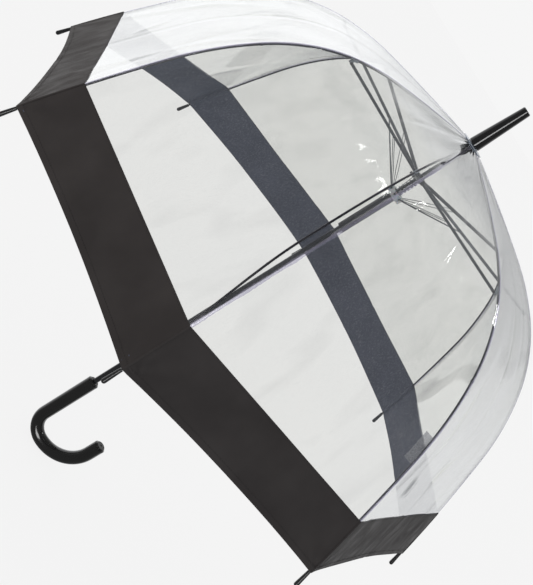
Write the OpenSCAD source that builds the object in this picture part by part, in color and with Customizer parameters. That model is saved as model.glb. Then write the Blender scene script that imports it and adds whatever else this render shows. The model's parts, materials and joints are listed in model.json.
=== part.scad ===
// Dome umbrella: a stick umbrella with a deep, clear bell canopy and a black hem band.
// Units are millimetres, +Z runs up the shaft. The origin is on the shaft's axis, level with
// the lowest point of the crook. Drawn open. Rib 1 points along +X, over the crook.

/* [Handle and shaft] */
// Radius of the handle's round section
handle_r = 10; // [9:0.5:12.5]
// Radius of the crook's first quarter turn, to the middle of the section
heel_r = 30; // [26:1:36]
// Radius of the crook's second, wider quarter turn
crook_r = 54; // [46:1:60]
// Straight part of the handle above the crook
grip_len = 95; // [80:0.5:105]
// Straight part of the crook's free end
tail_len = 21; // [8:1:34]
// Shaft showing between the handle and the top of the canopy
shaft_len = 620; // [600:5:660]
// Outer radius of the shaft tube
shaft_r = 4; // [4:0.1:4.4]
// Wall of the shaft tube
shaft_wall = 0.8; // [0.6:0.1:1]
// Length of the end piece above the canopy
ferrule_len = 76; // [60:1:95]
// Radius of the end piece where it meets the canopy
ferrule_base_r = 9.5; // [8.5:0.25:11]
// Radius of the end piece at its tip
ferrule_tip_r = 6.6; // [5.5:0.1:8]

/* [Ribs] */
// Radius of a rib's wire
rib_r = 1.3; // [1:0.05:1.4]
// Distance of the rib pivots from the shaft's axis
rib_pivot_r = 8.5; // [8.5:0.1:9.5]
// Slope of a rib at its pivot, in degrees below level
rib_slope = 8.5; // [7:0.5:11]
// Length of the first, nearly straight stretch
crown_len = 149; // [140:1:155]
// Turn of the first stretch, in degrees
crown_turn = 4.5; // [3:0.5:6]
// Length of the stretch that ends at the stretcher's clip
haunch_len = 70; // [65:1:75]
// Turn of the stretch that ends at the clip
haunch_turn = 12; // [10:0.5:14]
// Length of the middle rib, the tightest bend
shoulder_len = 109; // [100:1:115]
// Turn of the middle rib
shoulder_turn = 26.5; // [24:0.5:29]
// Length of the lower rib's upper stretch
side_len = 99; // [90:1:105]
// Turn of the lower rib's upper stretch
side_turn = 15; // [12:0.5:17]
// Length of the lower rib's last stretch
skirt_len = 177.5; // [165:0.5:190]
// Turn of the lower rib's last stretch
skirt_turn = 4.5; // [3:0.5:6]
// Length of the cap on a rib's end
tip_len = 23; // [18:1:28]

/* [Canopy] */
// Thickness of the film
film_t = 0.2; // [0.15:0.05:0.3]
// Gap between a rib's centre line and the film over it
film_gap = 2.1; // [2:0.05:2.2]
// Width of the black hem band along a rib
band_w = 81; // [60:1:110]
// Height of the curve cut into each hem between two ribs
hem_scallop = 7; // [0:1:16]

/* [Mechanism] */
// Depth of the floating collar's pivots below the top of the canopy
collar_drop = 77; // [74:1:80]
// Depth of the runner's pivots below the top of the canopy
runner_drop = 113; // [111:1:115]
// Radius of the stretcher pivots on the floating collar
collar_pivot_r = 7.5; // [7.4:0.1:7.8]
// Radius of the strut pivots on the runner
runner_pivot_r = 11.5; // [11.4:0.1:12]
// Distance from a stretcher's inner pivot to the point where its strut meets it
strut_reach = 80; // [74:1:86]
// Length of the runner's sleeve
sleeve_len = 87.5; // [84:0.5:92]

/* [Hidden] */

$fn = 48;
RIBS = 8;
GORE = 360 / RIBS;
RUN = 0.1; // clearance of a sliding fit
FIX = 0.05; // clearance of a fixed fit
SIDE = 0.2; // clearance beside a moving part

// Heights
heel_z = heel_r + handle_r;
crook_z = crook_r + handle_r;
grip_top_z = heel_z + grip_len;
apex_z = grip_top_z + shaft_len;
shaft_foot_z = grip_top_z - 60;
shaft_top_z = apex_z + 50;
ferrule_z = apex_z + 2.1;
rib_pivot_z = apex_z - 1.5;
collar_z = apex_z - collar_drop;
runner_z = apex_z - runner_drop;

// Collar, runner and sleeve
hinge_wire_r = 0.5;
hinge_wire_bore = hinge_wire_r + FIX;
notch_r = 11;
notch_low = 4.5; // notch below its pivots
notch_high = 1.3; // notch above its pivots
collar_r = 9.5;
collar_h = 6;
runner_r = 13.3;
runner_low = 5.3; // runner below its pivots
runner_high = 3.2; // runner above its pivots
sleeve_r = 7;
sleeve_bore_r = 6.2;
sleeve_top_z = runner_z + runner_high;
sleeve_foot_z = sleeve_top_z - sleeve_len;
spring_seat_z = sleeve_foot_z + 31; // the sleeve is solid to the shaft below its spring
window_z = sleeve_foot_z + 6;
window_h = 10;
window_w = 2.8;

// Runner's travel from open to closed, and the two catches in the shaft
runner_travel = 320;
open_catch_z = sleeve_foot_z - 0.4; // the nose's flat top stands just under the sleeve
closed_catch_z = window_z + window_h - 0.4 - runner_travel;
catch_t = 1.6;
catch_reach = 6.6; // the nose's tip, from the axis
catch_nose_h = 8;
catch_leaf_len = 26;
catch_slot_w = 2;

// Stretcher and strut
channel_gap = 4; // between the channel's cheeks: a rib and its clip pass here
channel_wall = 0.5;
channel_h = 3.2;
channel_w = channel_gap + 2 * channel_wall;
eye_w = 2.4;
rib_eye_w = 3;
eye_r = 1.7;
eye_bore = 0.7;
clip_w = channel_gap - 2 * SIDE;
clip_len = 9;
clip_back = 3; // stretcher pivot, back from the end of the upper rib
clip_drop = 5; // stretcher pivot, inside the rib's centre line
strut_wire_r = 0.45;
strut_gap = channel_w / 2 + 0.15 + strut_wire_r; // a strut wire's centre, beside the channel
strut_parallel = 60;
strut_eye_r = 1.3;
knuckle_r = rib_r + 0.15; // the rib's pieces meet in small round knuckles
knuckle_w = 2.5;
knuckle_gap = 0.1;
tie_r = 1.6; // knot of thread that ties the film's seam to a rib

// Coil spring
coil_wire_r = 0.6;
coil_r = 5.3;
coil_turns = 16;
coil_steps = 12;
coil_sides = 8;

// A rib's centre line is a chain of arcs: length and turn of each
ARCS = [
    [crown_len, crown_turn],
    [haunch_len, haunch_turn],
    [shoulder_len, shoulder_turn],
    [side_len, side_turn],
    [skirt_len, skirt_turn]
];
rib_len = crown_len + haunch_len + shoulder_len + side_len + skirt_len;

function arc_r(arc) = arc[0] / (arc[1] * PI / 180);

// Radius, height and slope after going the distance s round an arc from the state at its start
function along(state, arc, s) =
    let (turn = arc[1] * s / arc[0], R = arc_r(arc), a = state[2])
    [
        state[0] + R * (sin(a + turn) - sin(a)),
        state[1] - R * (cos(a) - cos(a + turn)),
        a + turn
    ];

// State at the start of arc k
function arc_start(k) =
    k == 0 ? [rib_pivot_r, rib_pivot_z, rib_slope]
    : along(arc_start(k - 1), ARCS[k - 1], ARCS[k - 1][0]);

// State at the distance s from the pivot
function rib_at(s, k = 0) =
    k == len(ARCS) - 1 || s <= ARCS[k][0] ? along(arc_start(k), ARCS[k], s)
    : rib_at(s - ARCS[k][0], k + 1);

// Point at the distance d outside a state of the centre line
function outside(state, d) = [state[0] + d * sin(state[2]), state[1] + d * cos(state[2])];

clip_state = rib_at(crown_len + haunch_len - clip_back);
clip_pivot = outside(clip_state, -clip_drop);
stretcher_run = [clip_pivot[0] - collar_pivot_r, clip_pivot[1] - collar_z];
stretcher_len = norm(stretcher_run);
stretcher_rise = atan2(stretcher_run[1], stretcher_run[0]);
strut_top = [
    collar_pivot_r + strut_reach * cos(stretcher_rise),
    collar_z + strut_reach * sin(stretcher_rise)
];
strut_run = [strut_top[0] - runner_pivot_r, strut_top[1] - runner_z];
strut_len = norm(strut_run);
strut_rise = atan2(strut_run[1], strut_run[0]);

// ---- shared shapes ----

module for_rib(k) {
    rotate([0, 0, (k - 1) * GORE]) children();
}

module across(h, r) {
    rotate([90, 0, 0]) cylinder(h = h, r = r, center = true);
}

// A round bar of radius r that follows arc k of the rib
module rib_arc(k, r) {
    start = arc_start(k);
    R = arc_r(ARCS[k]);
    centre = outside(start, -R);
    translate([centre[0], 0, centre[1]])
        rotate([90, 0, 0])
            rotate([0, 0, 90 - start[2] - ARCS[k][1]])
                rotate_extrude(angle = ARCS[k][1])
                    translate([R, 0])
                        circle(r = r);
}

module ball_at(state, r) {
    translate([state[0], 0, state[1]]) sphere(r = r);
}

module knuckle_at(state) {
    translate([state[0], 0, state[1]]) across(knuckle_w, knuckle_r);
}

// Room for a knuckle, right through the piece it turns in
module knuckle_room(state, gap) {
    translate([state[0], 0, state[1]]) across(2 * knuckle_w, knuckle_r + gap);
}

module ring_wire(R, z, r) {
    translate([0, 0, z])
        rotate_extrude()
            translate([R, 0])
                circle(r = r);
}

// Radial slots of width w, from radius r outwards, right through a collar at height z
module slots(w, r, z) {
    reach = 20;
    for (k = [1:RIBS])
        for_rib(k)
            translate([r, -w / 2, z - reach / 2])
                cube([reach, w, reach]);
}

// ---- shaft and handle ----

module shaft() {
    color("#1b1b1d")
        difference() {
            translate([0, 0, shaft_foot_z])
                cylinder(h = shaft_top_z - shaft_foot_z, r = shaft_r);
            translate([0, 0, shaft_foot_z - 1])
                cylinder(h = shaft_top_z - shaft_foot_z + 2, r = shaft_r - shaft_wall);
            catch_slot(open_catch_z);
            catch_slot(closed_catch_z);
        }
}

module catch_slot(z) {
    translate([2, -catch_slot_w / 2, z - catch_nose_h - 3])
        cube([shaft_r, catch_slot_w, catch_nose_h + 6]);
}

module handle() {
    chamfer = 3;
    dimple_r = 2.2;
    color("#141414")
        difference() {
            union() {
                translate([0, 0, heel_z])
                    cylinder(h = grip_len - chamfer, r = handle_r);
                translate([0, 0, grip_top_z - chamfer])
                    cylinder(h = chamfer, r1 = handle_r, r2 = handle_r - chamfer);
                quarter_turn(heel_r, heel_z, 180);
                quarter_turn(crook_r, crook_z, 270);
                translate([heel_r + crook_r, 0, crook_z]) {
                    cylinder(h = tail_len, r = handle_r);
                    translate([0, 0, tail_len])
                        cylinder(h = chamfer, r1 = handle_r, r2 = handle_r - chamfer);
                }
            }
            translate([0, 0, shaft_foot_z - FIX])
                cylinder(h = grip_len, r = shaft_r + FIX);
            translate([heel_r + crook_r, 0, crook_z + tail_len + chamfer + dimple_r / 2])
                sphere(r = dimple_r);
        }
}

// A quarter turn of the handle's bar in the XZ plane, round a point over the crook's lowest
module quarter_turn(radius, height, start) {
    translate([heel_r, 0, height])
        rotate([90, 0, 0])
            rotate([0, 0, start])
                rotate_extrude(angle = 90)
                    translate([radius, 0])
                        circle(r = handle_r);
}

module ferrule() {
    edge = 1;
    shaft_depth = shaft_top_z - ferrule_z + FIX;
    color("#141414")
        translate([0, 0, ferrule_z])
            rotate_extrude()
                polygon([
                    [shaft_r + FIX, 0],
                    [ferrule_base_r - edge / 2, 0],
                    [ferrule_base_r, edge / 2],
                    [ferrule_tip_r, ferrule_len - edge],
                    [ferrule_tip_r - edge, ferrule_len],
                    [0, ferrule_len],
                    [0, shaft_depth],
                    [shaft_r + FIX, shaft_depth]
                ]);
}

// ---- collars and runner ----

module top_notch() {
    color("#202022") {
        difference() {
            translate([0, 0, rib_pivot_z - notch_low])
                cylinder(h = notch_low + notch_high, r = notch_r);
            translate([0, 0, rib_pivot_z - notch_low - 1])
                cylinder(h = notch_low + notch_high + 2, r = shaft_r + FIX);
            slots(rib_eye_w + 2 * SIDE, rib_pivot_r - eye_r - SIDE, rib_pivot_z);
            ring_wire(rib_pivot_r, rib_pivot_z, hinge_wire_bore);
        }
        ring_wire(rib_pivot_r, rib_pivot_z, hinge_wire_r);
    }
}

module floating_collar() {
    color("#2a2a2d") {
        difference() {
            translate([0, 0, collar_z - collar_h / 2])
                cylinder(h = collar_h, r = collar_r);
            translate([0, 0, collar_z - collar_h])
                cylinder(h = 2 * collar_h, r = shaft_r + RUN);
            slots(eye_w + 2 * SIDE, collar_pivot_r - eye_r - SIDE, collar_z);
            ring_wire(collar_pivot_r, collar_z, hinge_wire_bore);
        }
        ring_wire(collar_pivot_r, collar_z, hinge_wire_r);
    }
}

module runner() {
    slot_w = 3.9;
    color("#d9dde0") {
        difference() {
            translate([0, 0, runner_z - runner_low])
                cylinder(h = runner_low + runner_high, r = runner_r);
            translate([0, 0, runner_z - runner_low - 1])
                cylinder(h = runner_low + runner_high + 2, r = sleeve_r + FIX);
            slots(slot_w, runner_pivot_r - strut_eye_r - SIDE, runner_z);
            ring_wire(runner_pivot_r, runner_z, hinge_wire_bore);
        }
        ring_wire(runner_pivot_r, runner_z, hinge_wire_r);
    }
}

module runner_sleeve() {
    color("#3c3d42")
        difference() {
            translate([0, 0, sleeve_foot_z])
                cylinder(h = sleeve_len, r = sleeve_r);
            translate([0, 0, sleeve_foot_z - 1])
                cylinder(h = sleeve_len + 2, r = shaft_r + RUN);
            translate([0, 0, spring_seat_z])
                cylinder(h = sleeve_len, r = sleeve_bore_r);
            translate([0, -window_w / 2, window_z])
                cube([sleeve_r + 1, window_w, window_h]);
        }
}

// A level cut through the coiled wire, swept up round the shaft
module coil_spring() {
    foot = spring_seat_z + RUN;
    rise = collar_z - collar_h / 2 - RUN - foot;
    pitch = rise / coil_turns;
    color("#6d6f75")
        translate([0, 0, foot])
            linear_extrude(
                height = rise,
                twist = -360 * coil_turns,
                slices = coil_turns * coil_steps,
                segments = coil_sides
            )
                polygon([
                    for (i = [0:coil_sides - 1])
                        let (
                            a = 360 * i / coil_sides,
                            r = coil_r + coil_wire_r * cos(a),
                            turn = 360 * coil_wire_r * sin(a) / pitch
                        )
                        [r * cos(turn), r * sin(turn)]
                ]);
}

// A leaf inside the shaft with a nose through the slot, its flat top at height z
module catch_at(z) {
    leaf_in = 1.6;
    leaf_out = 2.6;
    leaf_foot = z - catch_nose_h / 2 - catch_leaf_len / 2;
    color("#8a8c90")
        translate([0, catch_t / 2, 0])
            rotate([90, 0, 0])
                linear_extrude(height = catch_t)
                    polygon([
                        [leaf_in, leaf_foot],
                        [leaf_out, leaf_foot],
                        [leaf_out, z - catch_nose_h],
                        [catch_reach, z - 2],
                        [catch_reach, z],
                        [leaf_out, z],
                        [leaf_out, leaf_foot + catch_leaf_len],
                        [leaf_in, leaf_foot + catch_leaf_len]
                    ]);
}

module open_catch() {
    catch_at(open_catch_z);
}

module closed_catch() {
    catch_at(closed_catch_z);
}

// ---- ribs ----

module rib_upper() {
    color("#1d1e24") {
        difference() {
            union() {
                translate([rib_pivot_r, 0, rib_pivot_z]) across(rib_eye_w, eye_r);
                rib_arc(0, rib_r);
                ball_at(arc_start(1), tie_r);
                rib_arc(1, rib_r);
                knuckle_at(arc_start(2));
            }
            translate([rib_pivot_r, 0, rib_pivot_z]) across(2 * rib_eye_w, eye_bore);
        }
        clip();
    }
}

// Moulded clip on the wire, with a lug that the stretcher's fork straddles
module clip() {
    clip_bottom = 2; // below the wire's centre line
    clip_top = 0.9; // above it, so the clip is open along its top and snaps on
    color("#9aa0a6")
        difference() {
            translate([clip_state[0], 0, clip_state[1]])
                rotate([0, clip_state[2], 0]) {
                    translate([-clip_len / 2 - 2, -clip_w / 2, -clip_bottom])
                        cube([clip_len, clip_w, clip_bottom + clip_top]);
                    translate([0, 0, -clip_drop]) across(clip_w, 1.5);
                    translate([-1.5, -clip_w / 2, -clip_drop])
                        cube([3, clip_w, clip_drop]);
                }
            rib_arc(1, rib_r + FIX);
            knuckle_room(arc_start(2), FIX);
        }
}

module rib_middle() {
    color("#1d1e24")
        difference() {
            union() {
                rib_arc(2, rib_r);
                knuckle_at(arc_start(3));
            }
            knuckle_room(arc_start(2), knuckle_gap);
        }
}

module rib_lower() {
    color("#1d1e24")
        difference() {
            union() {
                rib_arc(3, rib_r);
                rib_arc(4, rib_r);
                ball_at(arc_start(4), tie_r);
            }
            knuckle_room(arc_start(3), knuckle_gap);
        }
}

module rib_tip() {
    cover = 2; // length of rib inside the cap
    neck_r = 2.2;
    head_r = 2.9;
    end = rib_at(rib_len);
    color("#101010")
        difference() {
            translate([end[0], 0, end[1]])
                rotate([0, 90 + end[2], 0]) {
                    translate([0, 0, -cover])
                        cylinder(h = tip_len - head_r, r1 = neck_r, r2 = head_r);
                    translate([0, 0, tip_len - cover - head_r]) sphere(r = head_r);
                }
            rib_arc(4, rib_r + FIX);
        }
}

// ---- stretchers and struts ----

module stretcher() {
    nose_start = 4; // the solid nose is narrower than the channel, to clear its neighbours when closed
    nose_end = 14;
    cheek_start = 12;
    web_len = 0.4 * stretcher_len; // beyond the web the channel is a fork
    cheek_end = stretcher_len + 2.2;
    color("#3a3b40")
        translate([collar_pivot_r, 0, collar_z])
            rotate([0, -stretcher_rise, 0])
                difference() {
                    union() {
                        across(eye_w, eye_r);
                        translate([0, -eye_w / 2, -eye_r])
                            cube([nose_start + 1, eye_w, 2 * eye_r]);
                        translate([nose_start, -channel_gap / 2, -channel_h / 2])
                            cube([nose_end - nose_start, channel_gap, channel_h]);
                        translate([cheek_start, -channel_w / 2, -channel_h / 2])
                            cube([cheek_end - cheek_start, channel_w, channel_h]);
                    }
                    across(3 * eye_w, eye_bore);
                    translate([nose_end, -channel_gap / 2, -channel_h / 2 + channel_wall])
                        cube([stretcher_len, channel_gap, channel_h]);
                    translate([web_len, -channel_gap / 2, -channel_h])
                        cube([stretcher_len, channel_gap, 2 * channel_h]);
                }
}

module strut_wire(side) {
    bend = strut_len - strut_parallel;
    start_y = side * 0.7;
    bend_y = side * strut_gap;
    spread = atan2(bend_y - start_y, bend);
    translate([0, start_y, 0])
        rotate([0, 90, spread])
            cylinder(h = norm([bend, bend_y - start_y]), r = strut_wire_r);
    translate([bend, bend_y, 0]) sphere(r = strut_wire_r);
    translate([bend, bend_y, 0])
        rotate([0, 90, 0])
            cylinder(h = strut_parallel - strut_eye_r / 2, r = strut_wire_r);
    translate([strut_len, bend_y, 0])
        rotate([90, 0, 0])
            difference() {
                cylinder(h = 2 * strut_wire_r, r = strut_eye_r, center = true);
                cylinder(h = 4 * strut_wire_r, r = 0.6, center = true);
            }
}

module strut() {
    color("#8f9297")
        translate([runner_pivot_r, 0, runner_z])
            rotate([0, -strut_rise, 0])
                difference() {
                    union() {
                        across(eye_w, strut_eye_r);
                        for (side = [-1, 1]) strut_wire(side);
                    }
                    across(3 * eye_w, eye_bore);
                }
}

// ---- canopy ----

// State on the rib's line carried straight on inwards from its pivot, for s below 0
function inwards(s) = [rib_pivot_r + s * cos(rib_slope), rib_pivot_z - s * sin(rib_slope), rib_slope];

// Point of the film at the distance s down rib k, a share u of the way to the next rib
function film_point(s, u, k, d) =
    let (p = outside(s < 0 ? inwards(s) : rib_at(s), d), a = k * GORE, b = a + GORE)
    [
        p[0] * ((1 - u) * cos(a) + u * cos(b)),
        p[0] * ((1 - u) * sin(a) + u * sin(b)),
        p[1]
    ];

function hem_cut(u) = hem_scallop * (1 - pow(2 * u - 1, 2));

// A closed sheet of eight gores: rows of distances, the last row cut to the hem's curve
module sheet(rows, parts, scalloped) {
    around = RIBS * parts;
    last = len(rows) - 1;
    function at(i, j, d) =
        let (u = (j % parts) / parts, cut = scalloped && i == last ? hem_cut(u) : 0)
        film_point(rows[i] - cut, u, floor(j / parts), d);
    outer = [for (i = [0:last]) for (j = [0:around - 1]) at(i, j, film_gap + film_t)];
    inner = [for (i = [0:last]) for (j = [0:around - 1]) at(i, j, film_gap)];
    function id(face, i, j) = face * len(outer) + i * around + j % around;
    skin = [
        for (i = [0:last - 1]) for (j = [0:around - 1]) each [
            [id(0, i, j), id(0, i, j + 1), id(0, i + 1, j + 1)],
            [id(0, i, j), id(0, i + 1, j + 1), id(0, i + 1, j)],
            [id(1, i, j), id(1, i + 1, j + 1), id(1, i, j + 1)],
            [id(1, i, j), id(1, i + 1, j), id(1, i + 1, j + 1)]
        ]
    ];
    rims = [
        for (j = [0:around - 1]) each [
            [id(0, 0, j), id(1, 0, j + 1), id(0, 0, j + 1)],
            [id(0, 0, j), id(1, 0, j), id(1, 0, j + 1)],
            [id(0, last, j), id(0, last, j + 1), id(1, last, j + 1)],
            [id(0, last, j), id(1, last, j + 1), id(1, last, j)]
        ]
    ];
    polyhedron(points = concat(outer, inner), faces = concat(skin, rims), convexity = 6);
}

band_start = rib_len - band_w;

module canopy_clear() {
    steps = 40;
    hole = -4.1; // the film runs in past the pivots to the shaft
    color("#dfe6ea", 0.35) {
        sheet(concat([hole], [for (i = [0:steps]) i * (band_start - 0.1) / steps]), 1, false);
        rosette();
    }
}

// Round film patch under the end piece
module rosette() {
    translate([0, 0, ferrule_z - 0.6])
        difference() {
            cylinder(h = 0.5, r = 13);
            translate([0, 0, -1]) cylinder(h = 3, r = shaft_r + 0.3);
        }
}

module canopy_band() {
    steps = 3;
    parts = 4;
    corner = rib_len - 2.6; // the film ends just above the caps
    color("#232325")
        sheet([for (i = [0:steps]) band_start + i * (corner - band_start) / steps], parts, true);
}

shaft();
handle();
ferrule();
top_notch();
floating_collar();
runner();
runner_sleeve();
coil_spring();
open_catch();
closed_catch();
canopy_clear();
canopy_band();
for (k = [1:RIBS]) {
    for_rib(k) rib_upper();
    for_rib(k) rib_middle();
    for_rib(k) rib_lower();
    for_rib(k) rib_tip();
    for_rib(k) stretcher();
    for_rib(k) strut();
}
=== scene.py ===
"""Looks of the dome umbrella: film canopy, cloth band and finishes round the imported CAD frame.

Metres, in the CAD frame: +Z runs up the shaft and rib 1 points along +X.
"""

import json
import math

import bpy
import numpy as np
from mathutils import Matrix, Vector


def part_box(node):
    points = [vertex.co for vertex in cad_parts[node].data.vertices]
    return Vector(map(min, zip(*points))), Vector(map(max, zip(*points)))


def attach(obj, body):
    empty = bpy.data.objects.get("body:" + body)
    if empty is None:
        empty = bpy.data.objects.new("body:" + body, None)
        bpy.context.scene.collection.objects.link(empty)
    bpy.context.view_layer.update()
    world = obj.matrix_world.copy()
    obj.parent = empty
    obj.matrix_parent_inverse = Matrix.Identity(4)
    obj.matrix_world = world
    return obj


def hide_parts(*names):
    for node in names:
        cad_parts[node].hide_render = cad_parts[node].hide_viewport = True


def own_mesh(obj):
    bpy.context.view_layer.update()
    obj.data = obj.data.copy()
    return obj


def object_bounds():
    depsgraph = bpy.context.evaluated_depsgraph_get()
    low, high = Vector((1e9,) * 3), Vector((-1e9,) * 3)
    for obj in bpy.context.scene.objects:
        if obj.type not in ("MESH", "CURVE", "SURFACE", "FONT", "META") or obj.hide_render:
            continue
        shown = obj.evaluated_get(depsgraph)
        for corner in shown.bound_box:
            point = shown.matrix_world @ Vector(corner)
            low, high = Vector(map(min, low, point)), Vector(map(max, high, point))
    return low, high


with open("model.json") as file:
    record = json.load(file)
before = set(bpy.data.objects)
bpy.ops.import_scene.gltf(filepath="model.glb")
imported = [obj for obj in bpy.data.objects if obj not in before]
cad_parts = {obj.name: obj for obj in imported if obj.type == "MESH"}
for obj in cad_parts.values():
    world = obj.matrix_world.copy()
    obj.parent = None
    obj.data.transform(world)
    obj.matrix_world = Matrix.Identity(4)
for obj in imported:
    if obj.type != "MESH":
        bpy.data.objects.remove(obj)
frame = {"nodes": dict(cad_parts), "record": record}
cad_low, cad_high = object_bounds()
JOINTS = {j["name"]: j for j in frame["record"]["behaviour"]["joints"]}

MM = 0.001
RIBS = 8
GORE = 2 * math.pi / RIBS

# ---- the ribs' curve, as in the CAD ----

PIVOT = np.array(JOINTS["rib_swing_1"]["pos_m"])[[0, 2]]
START_SLOPE = math.radians(8.5)
ARCS = [(149, 4.5), (70, 12), (109, 26.5), (99, 15), (177.5, 4.5)]
ARCS = [(length * MM, math.radians(turn)) for length, turn in ARCS]
BEND_S = ARCS[0][0] + ARCS[1][0]
SWEEP_S = BEND_S + ARCS[2][0]
RIB_LEN = sum(length for length, _ in ARCS)
BAND_S = RIB_LEN - 81 * MM
CORNER_S = RIB_LEN - 2.6 * MM
HEM_DIPS = [7 * MM, 7 * MM, 7 * MM, 9 * MM, 12 * MM, 4.5 * MM, 4.5 * MM, 7 * MM]


def rib_state(s):
    """Radius, height and slope of a rib's centre line at the distances s from its pivot."""
    s = np.asarray(s, float)
    r, z, a = PIVOT[0], PIVOT[1], START_SLOPE
    out = [np.zeros_like(s) for _ in range(3)]
    begin = 0.0
    for i, (length, turn) in enumerate(ARCS):
        radius = length / turn
        last = i == len(ARCS) - 1
        inside = (s >= begin) if last else (s >= begin) & (s < begin + length)
        if i == 0:
            inside = inside | (s < 0)
        angle = a + turn * (s - begin) / length
        out[0] = np.where(inside, r + radius * (np.sin(angle) - math.sin(a)), out[0])
        out[1] = np.where(inside, z - radius * (math.cos(a) - np.cos(angle)), out[1])
        out[2] = np.where(inside, angle, out[2])
        r, z = r + radius * (math.sin(a + turn) - math.sin(a)), z - radius * (math.cos(a) - math.cos(a + turn))
        a += turn
        begin += length
    return out


def rib_axes(k):
    """Outward and sideways unit vectors of rib k, counted from 1."""
    a = (k - 1) * GORE
    return np.array([math.cos(a), math.sin(a), 0]), np.array([-math.sin(a), math.cos(a), 0])


def in_rib(k, r, y, z):
    """Row-frame points from radius, sideways distance and height in rib k's plane."""
    out, side = rib_axes(k)
    r, y, z = np.broadcast_arrays(np.asarray(r, float), y, z)
    return r[..., None] * out + y[..., None] * side + z[..., None] * np.array([0, 0, 1.0])


# ---- the film's surface ----

def smooth(t):
    t = np.clip(t, 0, 1)
    return t * t * (3 - 2 * t)


DIMPLES = {
    7: [(0.475, 0.016, 0.24, 0.3, 9 * MM, 2.2 * MM), (0.45, 0.02, 0.5, -0.4, 8 * MM, -1.6 * MM)],
    4: [(0.47, 0.02, 0.4, 0.3, 8 * MM, 0.8 * MM)],
}


def make_folds(gore):
    """Soft folds of one gore: place along, half length, place across, lean, width, height."""
    rng = np.random.default_rng(100 + gore)
    folds = list(DIMPLES.get(gore, []))
    for _ in range(8):
        near = rng.choice([rng.uniform(0.03, 0.2), rng.uniform(0.8, 0.97), rng.uniform(0.25, 0.75)])
        folds.append((
            rng.uniform(0.2, 0.52), rng.uniform(0.05, 0.14), near, rng.uniform(-0.35, 0.35),
            rng.uniform(5.5, 11) * MM, rng.uniform(-0.9, 0.9) * MM,
        ))
    return folds


FOLDS = [make_folds(g) for g in range(RIBS)]


def relief(gore, s, u):
    """Distance the film stands off its straight-line surface."""
    r = rib_state(s)[0]
    width = 2 * r * math.sin(GORE / 2)
    x = u * width
    edge = np.minimum(x, width - x)
    d = -1.6 * MM * np.sin(math.pi * u) * s / RIB_LEN
    d = d - 0.45 * MM * np.exp(-(((u - 0.5) * width) / (4 * MM)) ** 2) * smooth(s / 0.2)
    for place, half, across, lean, wide, high in FOLDS[gore]:
        centre = across * width + lean * (s - place)
        d = d + high * np.exp(-((x - centre) / wide) ** 2 - ((s - place) / half) ** 4)
    phase = 1.7 * gore
    d = d + 0.6 * MM * np.sin(2 * math.pi * (s / 0.19 + u) + phase) * np.sin(2 * math.pi * u + phase)
    d = d + 0.012 * width * np.cos(10 * math.pi * u + phase) * np.exp(-np.maximum(s, 0) / 0.03)
    for x0 in (x, width - x):
        up = CORNER_S - s
        rho = np.hypot(x0, up)
        theta = np.arctan2(x0, up)
        d = d + 0.7 * MM * np.cos(11 * theta + phase) * np.exp(-rho / 0.04) * smooth(rho / 0.012)
    return d * smooth(edge / (7 * MM))


def straight(gore, s, u, lift):
    """Point on straight lines drawn between two neighbouring ribs."""
    r, z, a = rib_state(s)
    r, z = r + lift * np.sin(a), z + lift * np.cos(a)
    a0 = gore * GORE
    x = r * ((1 - u) * math.cos(a0) + u * math.cos(a0 + GORE))
    y = r * ((1 - u) * math.sin(a0) + u * math.sin(a0 + GORE))
    return np.stack([x, y, z], -1)


def unit(v):
    return v / np.linalg.norm(v, axis=-1, keepdims=True)


def film_at(gore, s, u, lift):
    ds, du = 1e-4, 1e-4
    p = straight(gore, s, u, lift)
    along = straight(gore, s + ds, u, lift) - p
    across = straight(gore, s, u + du, lift) - p
    return p + unit(np.cross(along, across)) * relief(gore, s, u)[..., None]


def film_surface(gore, s, u, lift):
    """Points and outward normals of the film, lift outside the ribs' centre lines."""
    s, u = np.broadcast_arrays(np.asarray(s, float), np.asarray(u, float))
    ds, du = 2e-4, 5e-4
    p = film_at(gore, s, u, lift)
    along = film_at(gore, s + ds, u, lift) - film_at(gore, s - ds, u, lift)
    across = film_at(gore, s, u + du, lift) - film_at(gore, s, u - du, lift)
    return p, unit(np.cross(along, across))


# ---- meshes ----

class Soup:
    """Vertices, faces, a material index for each face and a normal for each face corner."""

    def __init__(self):
        self.verts, self.faces, self.mats, self.normals = [], [], [], []
        self.count = 0

    def add_verts(self, points):
        self.verts.append(np.asarray(points, float).reshape(-1, 3))
        self.count += len(self.verts[-1])
        return self.count - len(self.verts[-1])

    def add_faces(self, faces, mat, normals=None):
        self.faces += [tuple(int(i) for i in f) for f in faces]
        self.mats += [mat] * len(faces)
        self.normals += [None] * len(faces) if normals is None else list(normals)

    def build(self, name, materials, sharp=False):
        verts = np.vstack(self.verts)
        mesh = bpy.data.meshes.new(name)
        mesh.from_pydata(verts.tolist(), [], self.faces)
        for m in materials:
            mesh.materials.append(m)
        mesh.polygons.foreach_set("material_index", self.mats)
        mesh.polygons.foreach_set("use_smooth", [not sharp] * len(self.faces))
        mesh.update()
        if any(n is not None for n in self.normals):
            loops = []
            for face, given in zip(mesh.polygons, self.normals):
                if given is None:
                    loops += [tuple(face.normal)] * face.loop_total
                else:
                    loops += [tuple(n) for n in given]
            mesh.normals_split_custom_set(loops)
        o = bpy.data.objects.new(name, mesh)
        bpy.context.scene.collection.objects.link(o)
        return o


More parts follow.
